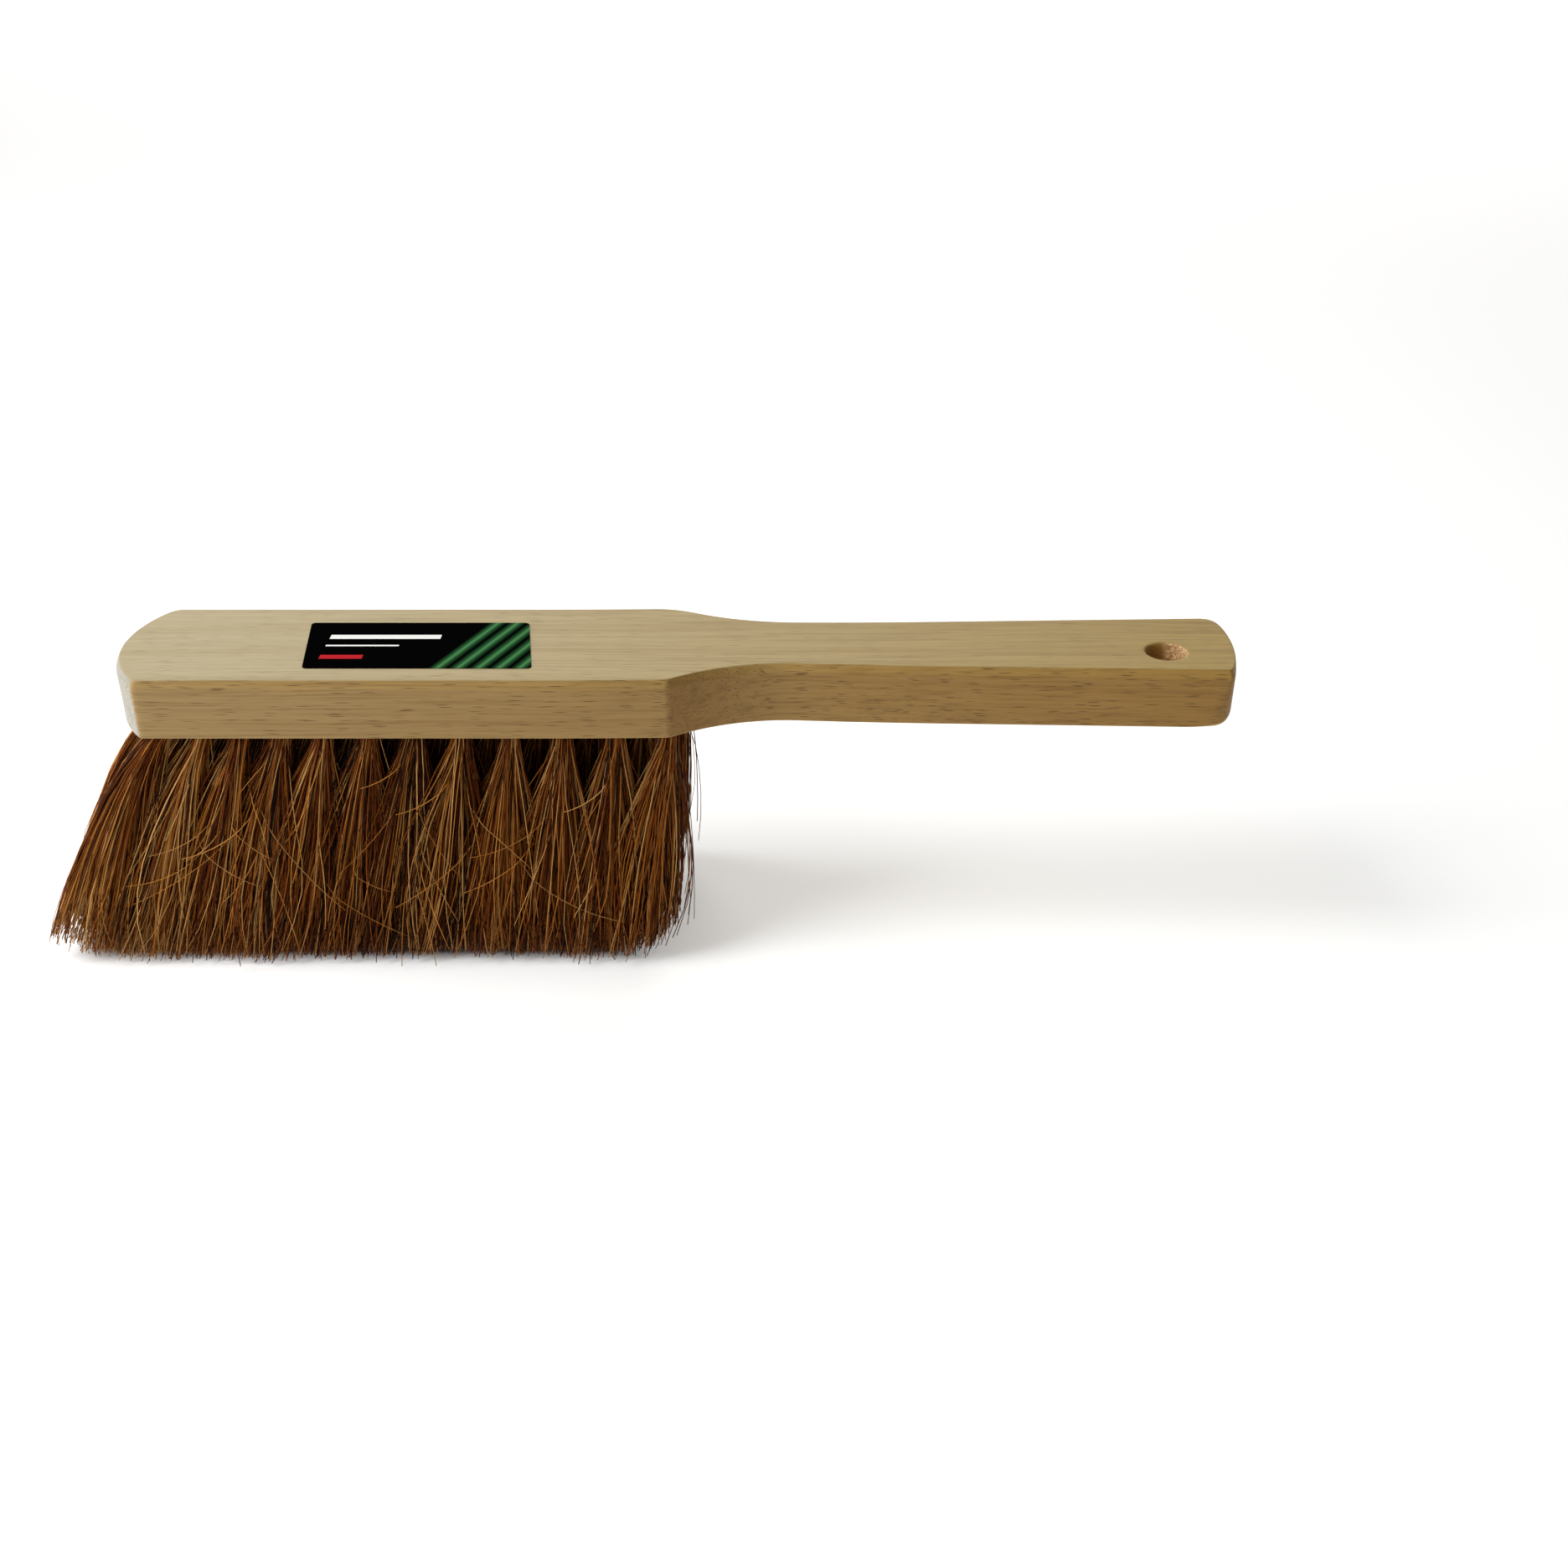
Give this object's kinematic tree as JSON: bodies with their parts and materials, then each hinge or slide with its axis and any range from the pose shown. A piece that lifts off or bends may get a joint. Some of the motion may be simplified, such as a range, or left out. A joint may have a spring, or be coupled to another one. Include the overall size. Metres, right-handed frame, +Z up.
{
  "type": "hand brush",
  "caption": "Wooden hand brush: flat one-piece head and handle with a hanging hole, rows of splayed coir tufts held by wire staples, and a label on top.",
  "frame": {"origin": "under the middle of the whole brush, on the surface that the fibre tips stand on", "axes": "+X from the toe of the head to the end of the handle, +Y to the back side, +Z up from the tips"},
  "size_m": [0.3178, 0.0572, 0.0812],
  "materials": {
    "wood": "bare planed rubberwood, satin",
    "coir": "coarse coconut fibre",
    "steel_wire": "drawn wire",
    "label": "printed, semi-gloss"
  },
  "bodies": {
    "root": {"handle_block": "wood", "label": "label", "bristle_row_front": "coir", "bristle_row_inner_front": "coir", "bristle_row_inner_back": "coir", "bristle_row_back": "coir", "staple_front_01": "steel_wire", "staple_front_02": "steel_wire", "staple_front_03": "steel_wire", "staple_front_04": "steel_wire", "staple_front_05": "steel_wire", "staple_front_06": "steel_wire", "staple_front_07": "steel_wire", "staple_front_08": "steel_wire", "staple_front_09": "steel_wire", "staple_front_10": "steel_wire", "staple_front_11": "steel_wire", "staple_front_12": "steel_wire", "staple_inner_front_01": "steel_wire", "staple_inner_front_02": "steel_wire", "staple_inner_front_03": "steel_wire", "staple_inner_front_04": "steel_wire", "staple_inner_front_05": "steel_wire", "staple_inner_front_06": "steel_wire", "staple_inner_front_07": "steel_wire", "staple_inner_front_08": "steel_wire", "staple_inner_front_09": "steel_wire", "staple_inner_front_10": "steel_wire", "staple_inner_front_11": "steel_wire", "staple_inner_front_12": "steel_wire", "staple_inner_back_01": "steel_wire", "staple_inner_back_02": "steel_wire", "staple_inner_back_03": "steel_wire", "staple_inner_back_04": "steel_wire", "staple_inner_back_05": "steel_wire", "staple_inner_back_06": "steel_wire", "staple_inner_back_07": "steel_wire", "staple_inner_back_08": "steel_wire", "staple_inner_back_09": "steel_wire", "staple_inner_back_10": "steel_wire", "staple_inner_back_11": "steel_wire", "staple_inner_back_12": "steel_wire", "staple_back_01": "steel_wire", "staple_back_02": "steel_wire", "staple_back_03": "steel_wire", "staple_back_04": "steel_wire", "staple_back_05": "steel_wire", "staple_back_06": "steel_wire", "staple_back_07": "steel_wire", "staple_back_08": "steel_wire", "staple_back_09": "steel_wire", "staple_back_10": "steel_wire", "staple_back_11": "steel_wire", "staple_back_12": "steel_wire"}
  },
  "joints": []
}
